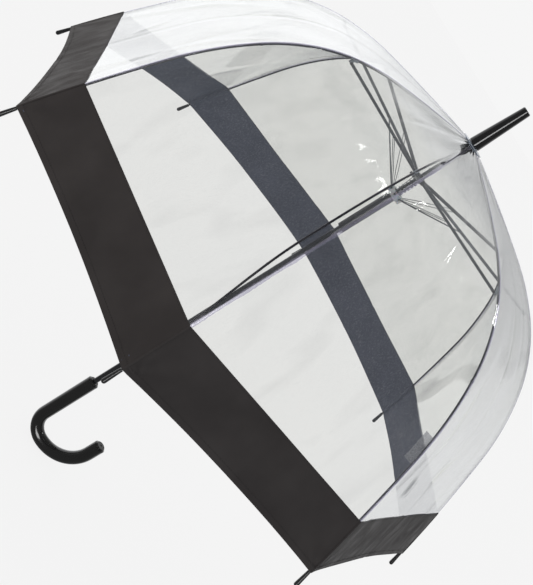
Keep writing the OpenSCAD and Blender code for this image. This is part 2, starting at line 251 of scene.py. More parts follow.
def add_sheet(soup, outer, normals, thick, mats):
    """A closed thin sheet under a grid of points: outer face, inner face and rim get mats in turn."""
    n, m = outer.shape[:2]
    a = soup.add_verts(outer)
    b = soup.add_verts(outer - normals * thick)
    flat = normals.reshape(-1, 3)
    i, j = np.meshgrid(np.arange(n - 1), np.arange(m - 1), indexing="ij")
    p = (i * m + j).ravel()
    quads = np.stack([p, p + m, p + m + 1, p + 1], 1)
    soup.add_faces(quads + a, mats[0], flat[quads])
    soup.add_faces(quads[:, ::-1] + b, mats[1], -flat[quads[:, ::-1]])
    ring = np.concatenate([
        np.arange(m), np.arange(1, n) * m + m - 1, (n - 1) * m + np.arange(m - 2, -1, -1),
        np.arange(n - 2, 0, -1) * m,
    ])
    nxt = np.roll(ring, -1)
    soup.add_faces(np.stack([ring + a, nxt + a, nxt + b, ring + b], 1), mats[2])


def add_tube(soup, path, radius, sides, mat, closed=False):
    """A round bar along a path, with flat ends."""
    path = np.asarray(path, float)
    n = len(path)
    if closed:
        tangent = unit(np.roll(path, -1, 0) - np.roll(path, 1, 0))
    else:
        tangent = unit(np.gradient(path, axis=0))
    side = np.cross(tangent[0], [0.31, 0.17, 0.93])
    frames = []
    for t in tangent:
        side = side - t * (side @ t)
        side = side / np.linalg.norm(side)
        frames.append((side, np.cross(t, side)))
    ang = np.arange(sides) * 2 * math.pi / sides
    rings = np.array([
        p + radius * (np.cos(ang)[:, None] * f[0] + np.sin(ang)[:, None] * f[1])
        for p, f in zip(path, frames)
    ])
    a = soup.add_verts(rings)
    faces = []
    for i in range(n if closed else n - 1):
        for j in range(sides):
            k = (j + 1) % sides
            i2 = (i + 1) % n
            faces.append((a + i * sides + j, a + i * sides + k, a + i2 * sides + k, a + i2 * sides + j))
    if not closed:
        faces.append(tuple(a + j for j in reversed(range(sides))))
        faces.append(tuple(a + (n - 1) * sides + j for j in range(sides)))
    soup.add_faces(faces, mat)


def add_stitches(soup, path, normals, mat, pitch=3.0 * MM, length=2.2 * MM, half=0.22 * MM):
    """Short thread stitches along a path, each a small pointed bar lying on the cloth."""
    step = np.linalg.norm(np.diff(path, axis=0), axis=1)
    dist = np.concatenate([[0], np.cumsum(step)])
    count = int(dist[-1] / pitch)
    for i in range(count):
        at = (i + 0.5) * dist[-1] / count
        ends = []
        for d in (at - length / 2, at, at + length / 2):
            ends.append(np.array([np.interp(d, dist, path[:, c]) for c in range(3)]))
        normal = unit(np.array([np.interp(at, dist, normals[:, c]) for c in range(3)]))
        along = unit(ends[2] - ends[0])
        side = np.cross(normal, along)
        mid = ends[1] + normal * half * 0.7
        a = soup.add_verts([
            ends[0], ends[2],
            mid + side * half, mid + normal * half, mid - side * half, mid - normal * half,
        ])
        faces = []
        for p, q in ((2, 3), (3, 4), (4, 5), (5, 2)):
            faces += [(a, a + q, a + p), (a + 1, a + p, a + q)]
        soup.add_faces(faces, mat)


# ---- materials ----

MOST_MIRRORED = 0.72


def new_material(name):
    m = bpy.data.materials.new(name)
    m.use_nodes = True
    tree = m.node_tree
    tree.nodes.clear()
    return m, tree


def node(tree, kind, inputs=None, **props):
    n = tree.nodes.new(kind)
    for key, value in props.items():
        setattr(n, key, value)
    for key, value in (inputs or {}).items():
        if isinstance(value, bpy.types.NodeSocket):
            tree.links.new(value, n.inputs[key])
        else:
            n.inputs[key].default_value = value
    return n


def maths(tree, op, a, b=0.0, clamp=False):
    return node(tree, "ShaderNodeMath", {0: a, 1: b}, operation=op, use_clamp=clamp).outputs[0]


def noise(tree, scale, detail=2.0, stretch=(1, 1, 1), rough=0.5, distort=0.0):
    where = node(tree, "ShaderNodeTexCoord").outputs["Object"]
    where = node(tree, "ShaderNodeMapping", {"Vector": where, "Scale": stretch}).outputs[0]
    return node(tree, "ShaderNodeTexNoise", {
        "Vector": where, "Scale": scale, "Detail": detail, "Roughness": rough, "Distortion": distort,
    }).outputs["Fac"]


def remap(tree, value, a, b, lo, hi):
    return node(tree, "ShaderNodeMapRange", {
        "Value": value, "From Min": a, "From Max": b, "To Min": lo, "To Max": hi,
    }).outputs[0]


def blend_colour(tree, fac, a, b):
    n = node(tree, "ShaderNodeMix", data_type="RGBA")
    for key, value in (("Factor", fac), ("A", a), ("B", b)):
        sockets = [s for s in n.inputs if s.name == key and s.enabled]
        socket = sockets[0]
        if isinstance(value, bpy.types.NodeSocket):
            tree.links.new(value, socket)
        else:
            socket.default_value = value
    return [s for s in n.outputs if s.enabled][0]


def finish_material(tree, shader):
    node(tree, "ShaderNodeOutputMaterial", {"Surface": shader})


def solid_finish(name, dark, light, rough, coat=0.0, metal=0.0, grain=400, bump=0.00002, patch=18, sheen=0.0):
    """Opaque finish: two tones mixed by a broad noise, roughness that varies, fine grain in relief."""
    m, t = new_material(name)
    tone = noise(t, patch, 3.0)
    colour = blend_colour(t, remap(t, tone, 0.3, 0.7, 0.0, 1.0), (*dark, 1), (*light, 1))
    fine = noise(t, grain, 2.0)
    relief_node = node(t, "ShaderNodeBump", {"Height": fine, "Strength": 1.0, "Distance": bump}).outputs[0]
    roughness = remap(t, noise(t, patch * 3, 2.0), 0.3, 0.7, rough * 0.8, rough * 1.25)
    shader = node(t, "ShaderNodeBsdfPrincipled", {
        "Base Color": colour, "Roughness": roughness, "Metallic": metal, "Normal": relief_node,
        "Coat Weight": coat, "Coat Roughness": 0.08, "Sheen Weight": sheen, "Sheen Roughness": 0.4,
    }).outputs[0]
    finish_material(t, shader)
    return m


def film_finish(name, tint, gain, haze, scuffs=0.0, rough=0.05, scatter=(0.80, 0.88, 1.0), edge=False):
    """Clear film: the light that isn't mirrored passes, with a faint haze of scuffs and ripples, and soft streaks of
    painted shade where folds would darken it.
    """
    m, t = new_material(name)
    ripple = noise(t, 22, 2.0, distort=0.4)
    crinkle = noise(t, 95, 3.0, (1, 1, 0.45), distort=1.2)
    height = maths(t, "ADD", maths(t, "MULTIPLY", ripple, 3.0), crinkle)
    normal = node(t, "ShaderNodeBump", {"Height": height, "Strength": 0.25, "Distance": 0.00012}).outputs[0]
    facing = node(t, "ShaderNodeLayerWeight", {"Blend": 0.5, "Normal": normal}).outputs["Facing"]
    mirror = maths(t, "ADD", maths(t, "MULTIPLY", maths(t, "POWER", facing, 5.0), 0.96), 0.04)
    veil = node(t, "ShaderNodeMapRange", {
        "Value": facing, "From Min": 0.52, "From Max": 0.84, "To Min": 0.0, "To Max": 0.38,
    }, interpolation_type="SMOOTHSTEP").outputs[0]
    mirror = maths(t, "ADD", mirror, veil)
    mirror = maths(t, "MINIMUM", maths(t, "MULTIPLY", mirror, gain), MOST_MIRRORED)
    # Painted shade: stretched noise darkens the see-through colour by a few per cent in soft streaks, standing for the
    # shade of folds in the film.
    fold_shade = remap(t, noise(t, 26, 2.0, (1, 1, 0.16), distort=0.3), 0.5, 0.72, 0.0, 1.0)
    shade = blend_colour(t, fold_shade, (*tint, 1), (*[c * 0.965 for c in tint], 1))
    clear = node(t, "ShaderNodeBsdfTransparent", {"Color": shade}).outputs[0]
    gloss = node(t, "ShaderNodeBsdfAnisotropic", {
        "Color": (0.99, 0.995, 1.0, 1), "Roughness": rough, "Normal": normal,
    }).outputs[0]
    scuff = remap(t, noise(t, 700, 4.0, (1, 1, 0.05), rough=0.7), 0.54, 0.70, 0.0, scuffs)
    cloud = remap(t, noise(t, 9, 3.0), 0.35, 0.7, haze * 0.6, haze * 1.4)
    milk = maths(t, "ADD", scuff, cloud, True)
    white = node(t, "ShaderNodeBsdfDiffuse", {"Color": (*scatter, 1)}).outputs[0]
    body = node(t, "ShaderNodeMixShader", {0: milk, 1: clear, 2: white}).outputs[0]
    shader = node(t, "ShaderNodeMixShader", {0: mirror, 1: body, 2: gloss}).outputs[0]
    finish_material(t, clear if edge else shader)
    return m


def cloth_finish(name, dark, light, thread_tone, scuffs=0.0):
    """Coated black cloth: fine plain weave, a soft sheen and faint creases of tone."""
    m, t = new_material(name)
    where = node(t, "ShaderNodeTexCoord").outputs["Object"]
    threads = []
    for turn in (0.0, 90.0):
        mapped = node(t, "ShaderNodeMapping", {
            "Vector": where, "Rotation": (0, math.radians(turn), 0),
        }).outputs[0]
        threads.append(node(t, "ShaderNodeTexWave", {
            "Vector": mapped, "Scale": 420.0, "Distortion": 0.6, "Detail": 1.0,
        }, wave_type="BANDS", bands_direction="Z").outputs["Fac"])
    weave = maths(t, "MAXIMUM", threads[0], threads[1])
    tone = noise(t, 14, 3.0)
    colour = blend_colour(t, remap(t, tone, 0.35, 0.65, 0, 1), (*dark, 1), (*light, 1))
    colour = blend_colour(t, maths(t, "MULTIPLY", weave, 0.25), colour, (*thread_tone, 1))
    # Pale streaks blended into the colour; on the lining they are partly scratches and partly painted reflection of its
    # glossy coating.
    scuff = remap(t, noise(t, 700, 4.0, (1, 1, 0.05), rough=0.7), 0.52, 0.70, 0.0, scuffs)
    colour = blend_colour(t, scuff, colour, (0.24, 0.25, 0.28, 1))
    crease = noise(t, 60, 3.0, (1, 1, 0.3), distort=0.8)
    rough = remap(t, crease, 0.3, 0.7, 0.42, 0.6)
    near = node(t, "ShaderNodeBump", {"Height": weave, "Strength": 0.5, "Distance": 0.00005}).outputs[0]
    normal = node(t, "ShaderNodeBump", {
        "Height": crease, "Strength": 0.5, "Distance": 0.0004, "Normal": near,
    }).outputs[0]
    shader = node(t, "ShaderNodeBsdfPrincipled", {
        "Base Color": colour, "Roughness": rough, "Normal": normal,
        "Specular IOR Level": 0.08,
        "Sheen Weight": 0.03, "Sheen Roughness": 0.35, "Sheen Tint": (0.75, 0.72, 0.7, 1),
    }).outputs[0]
    finish_material(t, shader)
    return m


def runner_finish(name):
    """Milky white plastic, glossy and slightly see-through."""
    m, t = new_material(name)
    tone = noise(t, 90, 3.0)
    colour = blend_colour(t, remap(t, tone, 0.3, 0.7, 0, 1), (0.62, 0.66, 0.70, 1), (0.85, 0.88, 0.90, 1))
    fine = node(t, "ShaderNodeBump", {"Height": noise(t, 500), "Strength": 0.4, "Distance": 0.00003}).outputs[0]
    solid = node(t, "ShaderNodeBsdfPrincipled", {
        "Base Color": colour, "Roughness": 0.14, "Normal": fine, "Coat Weight": 0.6, "Coat Roughness": 0.05,
        "Subsurface Weight": 0.25, "Subsurface Scale": 0.003,
    }).outputs[0]
    clear = node(t, "ShaderNodeBsdfTransparent", {"Color": (0.9, 0.93, 0.95, 1)}).outputs[0]
    shader = node(t, "ShaderNodeMixShader", {0: 0.3, 1: solid, 2: clear}).outputs[0]
    finish_material(t, shader)
    return m


# The outer face's warm grey see-through tint is partly the film's own colour and partly painted shade: it darkens and
# warms all that is seen through the dome, standing for the shade under it.
film_out = film_finish("film_outer", (0.925, 0.927, 0.902), 1.0, 0.038, scuffs=0.055)
film_in = film_finish("film_inner", (0.985, 0.987, 0.992), 1.0, 0.012)
film_rim = film_finish("film_rim", (0.995, 0.995, 0.995), 0.0, 0.0, edge=True)
seam_film = film_finish("film_seam", (0.90, 0.89, 0.95), 1.3, 0.13, 0.05, 0.12, (0.80, 0.79, 0.93))
patch_film = film_finish("film_patch", (0.86, 0.90, 0.95), 1.2, 0.80, 0.0, 0.1, (0.72, 0.80, 0.90))
tag_film = film_finish("film_tag", (0.84, 0.84, 0.86), 1.5, 0.24, 0.1, 0.2, (0.72, 0.72, 0.76))
band_cloth = cloth_finish("band_cloth", (0.035, 0.0315, 0.031), (0.049, 0.0445, 0.0435), (0.064, 0.058, 0.057))
# The lining's bluish slate tones and pale streaks are partly the inner coating's colour and scratches and partly
# painted sheen and reflection of that glossy coating.
band_lining = cloth_finish(
    "band_lining", (0.052, 0.059, 0.087), (0.074, 0.082, 0.118), (0.10, 0.11, 0.145), scuffs=0.7,
)
thread = solid_finish("thread", (0.012, 0.012, 0.012), (0.03, 0.029, 0.03), 0.7, grain=2500, bump=0.00004)
black_gloss = solid_finish("black_gloss", (0.0065, 0.0062, 0.006), (0.011, 0.0105, 0.010), 0.16, coat=0.5, bump=0.000012)
black_tip = solid_finish("black_tip", (0.010, 0.010, 0.011), (0.02, 0.02, 0.021), 0.28, coat=0.2)
end_gloss = solid_finish("end_gloss", (0.0065, 0.0062, 0.007), (0.010, 0.010, 0.011), 0.12, coat=0.35, bump=0.000006)
shaft_paint = solid_finish("shaft_paint", (0.02, 0.02, 0.023), (0.034, 0.034, 0.038), 0.16, coat=0.8, metal=0.5)
notch_black = solid_finish("notch_black", (0.016, 0.016, 0.018), (0.03, 0.03, 0.032), 0.42)
collar_grey = solid_finish("collar_grey", (0.02, 0.02, 0.022), (0.04, 0.04, 0.043), 0.38)
runner_plastic = runner_finish("runner_plastic")
sleeve_metal = solid_finish("sleeve_metal", (0.045, 0.045, 0.05), (0.07, 0.07, 0.076), 0.22, metal=0.6, coat=0.3)
spring_steel = solid_finish("spring_steel", (0.10, 0.10, 0.105), (0.2, 0.2, 0.21), 0.3, metal=0.9)
catch_steel = solid_finish("catch_steel", (0.3, 0.3, 0.31), (0.42, 0.42, 0.44), 0.28, metal=1.0)
hinge_steel = solid_finish("hinge_steel", (0.25, 0.25, 0.26), (0.36, 0.36, 0.38), 0.3, metal=1.0)
rib_wire = solid_finish("rib_wire", (0.010, 0.010, 0.016), (0.018, 0.018, 0.028), 0.3, coat=0.3)
clip_grey = solid_finish("clip_grey", (0.20, 0.23, 0.26), (0.33, 0.37, 0.41), 0.2, coat=0.6)
stretcher_steel = solid_finish("stretcher_steel", (0.05, 0.053, 0.062), (0.08, 0.084, 0.098), 0.33, metal=0.4)
strut_wire = solid_finish("strut_wire", (0.10, 0.11, 0.12), (0.19, 0.20, 0.215), 0.3, metal=0.7)
rivet_dark = solid_finish("rivet_dark", (0.02, 0.019, 0.018), (0.05, 0.045, 0.04), 0.35, metal=0.8)

# ---- CAD nodes that keep their shape ----

FINISHES = {
    "shaft": shaft_paint, "handle": black_gloss, "ferrule": end_gloss, "top_notch": notch_black,
    "floating_collar": collar_grey, "runner": runner_plastic, "runner_sleeve": sleeve_metal,
    "open_catch": catch_steel, "closed_catch": catch_steel,
}
for k in range(1, RIBS + 1):
    FINISHES[f"rib_upper_{k}"] = FINISHES[f"rib_middle_{k}"] = FINISHES[f"rib_lower_{k}"] = rib_wire
    FINISHES[f"rib_tip_{k}"] = black_tip
    FINISHES[f"stretcher_{k}"] = stretcher_steel
    FINISHES[f"strut_{k}"] = strut_wire

for name, finish in FINISHES.items():
    o = frame["nodes"][name]
    if not o.material_slots:
        o.data.materials.append(finish)
    for s in o.material_slots:
        s.material = finish


def second_finish(name, finish, test):
    """Gives the faces of a CAD node whose centres pass the test another finish."""
    o = frame["nodes"][name]
    o.data.materials.append(finish)
    index = len(o.data.materials) - 1
    centres = np.zeros(len(o.data.polygons) * 3)
    o.data.polygons.foreach_get("center", centres)
    marks = np.zeros(len(o.data.polygons), np.int32)
    marks[test(centres.reshape(-1, 3))] = index
    o.data.polygons.foreach_set("material_index", marks)


def near_ring(radius, height):
    def test(c):
        return np.hypot(np.hypot(c[:, 0], c[:, 1]) - radius, c[:, 2] - height) < 0.52 * MM
    return test


for name, joint in (("top_notch", "rib_swing_1"), ("floating_collar", "stretcher_swing_1"), ("runner", "strut_swing_1")):
    x, _, z = JOINTS[joint]["pos_m"]
    second_finish(name, hinge_steel, near_ring(x, z))

rib_line = np.linspace(0.19, BEND_S, 400)
rib_r, rib_z, _ = rib_state(rib_line)


def off_wire(k):
    out, side = rib_axes(k)

    def test(c):
        r, y, z = c @ out, c @ side, c[:, 2]
        gap = np.hypot(r[:, None] - rib_r, z[:, None] - rib_z).min(1)
        return (np.hypot(gap, y) > 1.34 * MM) & (r > rib_r[20])
    return test


for k in range(1, RIBS + 1):
    second_finish(f"rib_upper_{k}", clip_grey, off_wire(k))

# ---- rib 7, which bows sideways inside its film ----

BOWED = 7
BOW_UP, BOW_FROM, BOW_OVER = 360 * MM, 385 * MM, 190 * MM
BOW_DEPTH = 13.3 * MM

CLIP_S = BEND_S - 3 * MM
clip_r, clip_z, clip_slope = (float(v) for v in rib_state(CLIP_S))
CLIP_PIVOT = (clip_r - 5 * MM * math.sin(clip_slope), clip_z - 5 * MM * math.cos(clip_slope))
COLLAR = (JOINTS["stretcher_swing_1"]["pos_m"][0], JOINTS["stretcher_swing_1"]["pos_m"][2])
RUNNER = (JOINTS["strut_swing_1"]["pos_m"][0], JOINTS["strut_swing_1"]["pos_m"][2])
STRUT_REACH = 80 * MM
rise = math.atan2(CLIP_PIVOT[1] - COLLAR[1], CLIP_PIVOT[0] - COLLAR[0])
STRUT_TOP = (COLLAR[0] + STRUT_REACH * math.cos(rise), COLLAR[1] + STRUT_REACH * math.sin(rise))


def bow(s):
    """Sideways bow of the wire at the distances s from its pivot."""
    grow = np.sin(np.clip(s / BOW_UP, 0, 1) * math.pi / 2) ** 1.2
    return BOW_DEPTH * grow * (1 - smooth((s - BOW_FROM) / BOW_OVER))


def rib_bow(r, z):
    line = np.linspace(0, RIB_LEN, 1500)
    line_r, line_z, _ = rib_state(line)
    nearest = [int(np.argmin((line_r - a) ** 2 + (line_z - b) ** 2)) for a, b in zip(r, z)]
    return bow(line[nearest])


def bar_bow(start, end, most):
    """Bow that grows evenly from a bar's start to its end."""
    reach = np.subtract(end, start)

    def at(r, z):
        share = ((r - start[0]) * reach[0] + (z - start[1]) * reach[1]) / (reach @ reach)
        return most * np.clip(share, 0, 1.1)
    return at


CLIP_BOW = float(bow(CLIP_S))
STRUT_BOW = CLIP_BOW * STRUT_REACH / math.dist(CLIP_PIVOT, COLLAR)
stretcher_bow = bar_bow(COLLAR, CLIP_PIVOT, CLIP_BOW)


def shifted(points, how):
    """Points of rib 7's row, moved sideways along its hinges' axes."""
    out, side = rib_axes(BOWED)
    return points - np.outer(how(points @ out, points[:, 2]), side)


for name, how, material_slot in (
    ("rib_upper", rib_bow, "rib_wire"), ("rib_middle", rib_bow, "rib_wire"), ("rib_lower", rib_bow, "rib_wire"),
    ("stretcher", stretcher_bow, "stretcher_steel"), ("strut", bar_bow(RUNNER, STRUT_TOP, STRUT_BOW), "strut_wire"),
):
    mesh = frame["nodes"][f"{name}_{BOWED}"].data.copy()
    points = np.zeros(len(mesh.vertices) * 3)
    mesh.vertices.foreach_get("co", points)
    mesh.vertices.foreach_set("co", shifted(points.reshape(-1, 3), how).ravel())
    mesh.update()
    o = bpy.data.objects.new(f"bowed_{name}", mesh)
    bpy.context.scene.collection.objects.link(o)
    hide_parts(f"{name}_{BOWED}")
    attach(o, f"{name}_{BOWED}")

# ---- canopy ----

HALF_COLS = 28
LIFT_FILM = 2.2 * MM
LIFT_BAND = 2.7 * MM
FILM_T = 0.2 * MM
BAND_T = 0.4 * MM

# The three stretches of a rib, the body each rides on, and where they start and end
STRETCHES = [
    ("upper", 3 * MM, BEND_S, 44),
    ("middle", BEND_S, SWEEP_S, 24),
    ("lower", SWEEP_S, BAND_S + 1.5 * MM, 42),
]


def gather(piece, k, part):
    """Attaches a half gore to the body of its rib's stretch and gives it a mesh of its own; the stretch's chord and
    middle are worked out but not used.
    """
    s0, s1 = {"upper": (0, BEND_S), "middle": (BEND_S, SWEEP_S), "lower": (SWEEP_S, RIB_LEN)}[part]
    (r0, r1), (z0, z1) = [np.array([rib_state(s)[i] for s in (s0, s1)], float) for i in (0, 1)]
    rm, zm, _ = rib_state((s0 + s1) / 2)
    chord = in_rib(k, (r0 + r1) / 2, 0.0, (z0 + z1) / 2)
    bow = in_rib(k, rm, 0.0, zm)
    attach(piece, f"rib_{part}_{k}")
    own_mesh(piece)


def half_columns(k, side):
    """Gore number and shares across it, for the half on one side of rib k."""
    if side > 0:
        return (k - 1) % RIBS, np.linspace(0, 0.5, HALF_COLS + 1)
    return (k - 2) % RIBS, np.linspace(0.5, 1, HALF_COLS + 1)


def hem_s(gore, u):
    return CORNER_S - HEM_DIPS[gore] * (1 - (2 * u - 1) ** 2)


def band_rows(gore, u):
    """Distances down the rib of the band's rows, for the shares u across the gore."""
    length = hem_s(gore, u) - BAND_S
    top = np.array([0, 0.8, 1.8, 2.4, 3.0, 4.5]) * MM
    bottom = np.array([9.5, 8.4, 7.8, 7.2, 6.2, 4.0, 1.8, 0.6, 0]) * MM
    middle = np.linspace(0, 1, 20)[1:-1]
    rows = [BAND_S + t + 0 * u for t in top]
    rows += [BAND_S + top[-1] + f * (length - top[-1] - bottom[0]) for f in middle]
    rows += [BAND_S + length - b for b in bottom]
    return np.array(rows)


def band_rise(gore, rows, u):
    """Extra height of the folded hem and of the turned top edge, with a groove at the hem's seam."""
    from_hem = hem_s(gore, u) - rows
    from_top = rows - BAND_S
    rise = 0.35 * MM * (1 - smooth((from_hem - 6.4 * MM) / (1.4 * MM)))
    rise = rise + 0.2 * MM * (1 - smooth((from_top - 1.6 * MM) / (1.2 * MM)))
    rise = rise - 0.2 * MM * np.exp(-((from_hem - 7.8 * MM) / (0.5 * MM)) ** 2)
    return rise


for k in range(1, RIBS + 1):
    for side, tag in ((1, "a"), (-1, "b")):
        gore, u = half_columns(k, side)
        for part, s0, s1, rows in STRETCHES:
            grid_s, grid_u = np.meshgrid(np.linspace(s0, s1, rows + 1), u, indexing="ij")
            points, normals = film_surface(gore, grid_s, grid_u, LIFT_FILM)
            soup = Soup()
            add_sheet(soup, points, normals, FILM_T, (0, 1, 2))
            o = soup.build(f"film_{part}_{k}{tag}", [film_out, film_in, film_rim])
            gather(o, k, part)
            if k == 1 and side == 1 and part == "upper":
                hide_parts("canopy_clear")
        rows = band_rows(gore, u)
        cols = np.broadcast_to(u, rows.shape)
        points, normals = film_surface(gore, rows, cols, LIFT_BAND)
        points = points + normals * band_rise(gore, rows, cols)[..., None]
        soup = Soup()
        add_sheet(soup, points, normals, BAND_T, (0, 2, 0))
        for s_line in (hem_s(gore, u) - 7 * MM, BAND_S + 2.2 * MM + 0 * u):
            p, n = film_surface(gore, s_line, u, LIFT_BAND)
            add_stitches(soup, p + n * band_rise(gore, s_line, u)[:, None], n, 1)
        o = soup.build(f"band_{k}{tag}", [band_cloth, thread, band_lining])
        gather(o, k, "lower")
        if k == 1 and side == 1:
            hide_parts("canopy_band")


def rib_strip(k, s, half_width, lift, stand):
    """Grid of points that folds over rib k: rows of distances s, five columns across."""
    after, before = (k - 1) % RIBS, (k - 2) % RIBS
    width = 2 * rib_state(s)[0] * math.sin(GORE / 2)
    columns, turned = [], []
    for share in (-1, -0.5, 0, 0.5, 1):
        w = abs(share) * half_width
        if share < 0:
            p, n = film_surface(before, s, 1 - w / width, lift)
        else:
            p, n = film_surface(after, s, w / width, lift)
        if share == 0:
            n = unit(n + film_surface(before, s, np.ones_like(s), lift)[1])
        columns.append(p + n * stand)
        turned.append(n)
    return np.stack(columns, 1), np.stack(turned, 1)


rng = np.random.default_rng(7)
for k in range(1, RIBS + 1):
    for part, s0, s1, rows in STRETCHES:
        s0 = max(s0, 7 * MM)
        s = np.linspace(s0, min(s1, BAND_S), rows * 2)
        ragged = (1.9 + 0.3 * np.sin(s / (9 * MM) + k) + 0.2 * rng.standard_normal(len(s))) * MM
        points, normals = rib_strip(k, s, ragged, LIFT_FILM, 0.28 * MM)
        soup = Soup()
        add_sheet(soup, points, normals, 0.22 * MM, (0, 0, 0))
        o = soup.build(f"seam_{part}_{k}", [seam_film])
        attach(o, f"rib_{part}_{k}")
    s = np.linspace(BAND_S + 0.3 * MM, CORNER_S - 0.3 * MM, 40)
    points, normals = rib_strip(k, s, 1.5 * MM + 0 * s, LIFT_BAND, 0.5 * MM)
    soup = Soup()
    add_sheet(soup, points, normals, 0.3 * MM, (0, 0, 0))
    o = soup.build(f"band_seam_{k}", [band_cloth])
    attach(o, f"rib_lower_{k}")

# ---- cloth pockets that hold the ribs' ends inside the band ----

POCKET_R = 1.8
arc = np.radians(np.arange(200, 341, 20))
flare = [(3.6, 0.7), (2.6, 0.45), (1.95, 0.0)]
POCKET = np.array(
    [(-y, n) for y, n in flare] + [(POCKET_R * math.cos(a), POCKET_R * math.sin(a)) for a in arc] + flare[::-1]
) * MM
pocket_way = np.gradient(POCKET, axis=0)
POCKET_NORMALS = unit(np.stack([-pocket_way[:, 1], pocket_way[:, 0]], 1))
for k in range(1, RIBS + 1):
    s = np.linspace(560 * MM if k == BOWED else BAND_S + 0.6 * MM, CORNER_S - 5 * MM, 32)
    r, z, a = (v[:, None] for v in rib_state(s))
    y, n = POCKET.T
    points = in_rib(k, r + n * np.sin(a), y, z + n * np.cos(a))
    y, n = POCKET_NORMALS.T
    normals = in_rib(k, n * np.sin(a), y, n * np.cos(a))
    soup = Soup()
    add_sheet(soup, points, normals, 0.3 * MM, (0, 0, 0))
    o = soup.build(f"band_pocket_{k}", [band_lining])
    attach(o, f"rib_lower_{k}")

# ---- blank tab inside the film beside rib 8 ----

tab_s, tab_u = np.meshgrid(np.linspace(404, 441, 9) * MM, np.linspace(0.955, 0.995, 6), indexing="ij")
points, normals = film_surface(6, tab_s, tab_u, LIFT_FILM)
droop = (0.8 + 5 * (1 - tab_u) / 0.045 + 0.4 * np.sin(tab_s / (5 * MM))) * MM
soup = Soup()
add_sheet(soup, points - normals * droop[..., None], normals, 0.25 * MM, (0, 0, 0))
o = soup.build("blank_tab", [tag_film])
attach(o, "rib_lower_8")

# ---- film patch under the end piece ----

ferrule_low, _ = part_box("ferrule")
rings = np.linspace(4.5 * MM, 17 * MM, 14)
turns = np.linspace(0, 2 * math.pi, 97)
ring_r, ring_a = np.meshgrid(rings, turns, indexing="ij")
grow = (ring_r - rings[0]) / (rings[-1] - rings[0])
edge_r = ring_r * (1 + 0.05 * grow * np.cos(RIBS * ring_a) + 0.02 * grow * np.cos(23 * ring_a + 1))
patch_z = ferrule_low.z - 0.2 * MM - 1.3 * MM * grow + 0.35 * MM * grow * np.cos(17 * ring_a) * np.cos(5 * ring_a + 0.5)
disc = np.stack([edge_r * np.cos(ring_a), edge_r * np.sin(ring_a), patch_z], -1)
disc_n = unit(np.cross(np.gradient(disc, axis=0), np.gradient(disc, axis=1)))
soup = Soup()
n_rings, n_turns = ring_r.shape
n_turns -= 1
a = soup.add_verts(disc[:, :-1])
b = soup.add_verts(disc[:, :-1] - disc_n[:, :-1] * 0.35 * MM)
up_faces, down_faces, rim_faces = [], [], []
for i in range(n_rings - 1):
    for j in range(n_turns):
        p, q = i * n_turns + j, i * n_turns + (j + 1) % n_turns
        up_faces.append((a + p, a + p + n_turns, a + q + n_turns, a + q))
        down_faces.append((b + p, b + q, b + q + n_turns, b + p + n_turns))
for i, flip in ((0, 1), (n_rings - 1, -1)):
    for j in range(n_turns):
        p, q = i * n_turns + j, i * n_turns + (j + 1) % n_turns
        face = (a + p, a + q, b + q, b + p)
        rim_faces.append(face[::flip])
soup.add_faces(up_faces + down_faces + rim_faces, 0)
o = soup.build("hub_patch", [patch_film])
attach(o, "shaft")

# ---- coil spring ----

spring_low, spring_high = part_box("coil_spring")
TURNS = 16
turn = np.linspace(0, 1, TURNS * 28 + 1)
ang = 2 * math.pi * TURNS * turn
wire = 0.6 * MM
height = spring_high.z - spring_low.z - 2 * wire
path = np.stack([
    5.3 * MM * np.cos(ang), 5.3 * MM * np.sin(ang), spring_low.z + wire + height * turn,
], 1)
soup = Soup()
add_tube(soup, path, wire, 10, 0)
o = soup.build("coil_wire", [spring_steel])
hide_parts("coil_spring")
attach(o, "runner")
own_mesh(o)

# ---- rivets of the stretchers ----


def add_rivet(soup, centre, axis, radius, length):
    """A low domed head, built as rings on its axis."""
    axis = unit(np.asarray(axis, float))
    one = unit(np.cross(axis, [0.2, 0.3, 0.9]))
    two = np.cross(axis, one)
    profile = [(1.0, 0.0), (1.0, 0.35), (0.88, 0.7), (0.6, 0.92), (0.25, 1.0)]
    sides = 20
    ang = np.arange(sides) * 2 * math.pi / sides
    ring = np.cos(ang)[:, None] * one + np.sin(ang)[:, None] * two
    a = soup.add_verts(np.vstack([centre + ring * radius * f + axis * length * h for f, h in profile]))
    faces = [tuple(a + j for j in reversed(range(sides)))]
    for i in range(len(profile) - 1):
        for j in range(sides):
            k2 = (j + 1) % sides
            faces.append((a + i * sides + j, a + i * sides + k2, a + (i + 1) * sides + k2, a + (i + 1) * sides + j))
    faces.append(tuple(a + (len(profile) - 1) * sides + j for j in range(sides)))
    soup.add_faces(faces, 0)


for k in range(1, RIBS + 1):
    soup = Soup()
    _, side = rib_axes(k)
    for (r, z), y, radius, length in ((CLIP_PIVOT, 2.5 * MM, 1.5 * MM, 0.8 * MM), (STRUT_TOP, 3.55 * MM, 1.1 * MM, 0.6 * MM)):
        for sign in (1, -1):
            add_rivet(soup, in_rib(k, r, sign * y, z), sign * side, radius, length)
    add_tube(soup, [in_rib(k, *p) for p in (
        (STRUT_TOP[0], -3.55 * MM, STRUT_TOP[1]), (STRUT_TOP[0], 0.0, STRUT_TOP[1]),
        (STRUT_TOP[0], 3.55 * MM, STRUT_TOP[1]))], 0.5 * MM, 10, 0)
    if k == BOWED:
        soup.verts = [shifted(v, stretcher_bow) for v in soup.verts]
    o = soup.build(f"rivets_{k}", [rivet_dark])
    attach(o, f"stretcher_{k}")

# ---- camera, light and floor ----

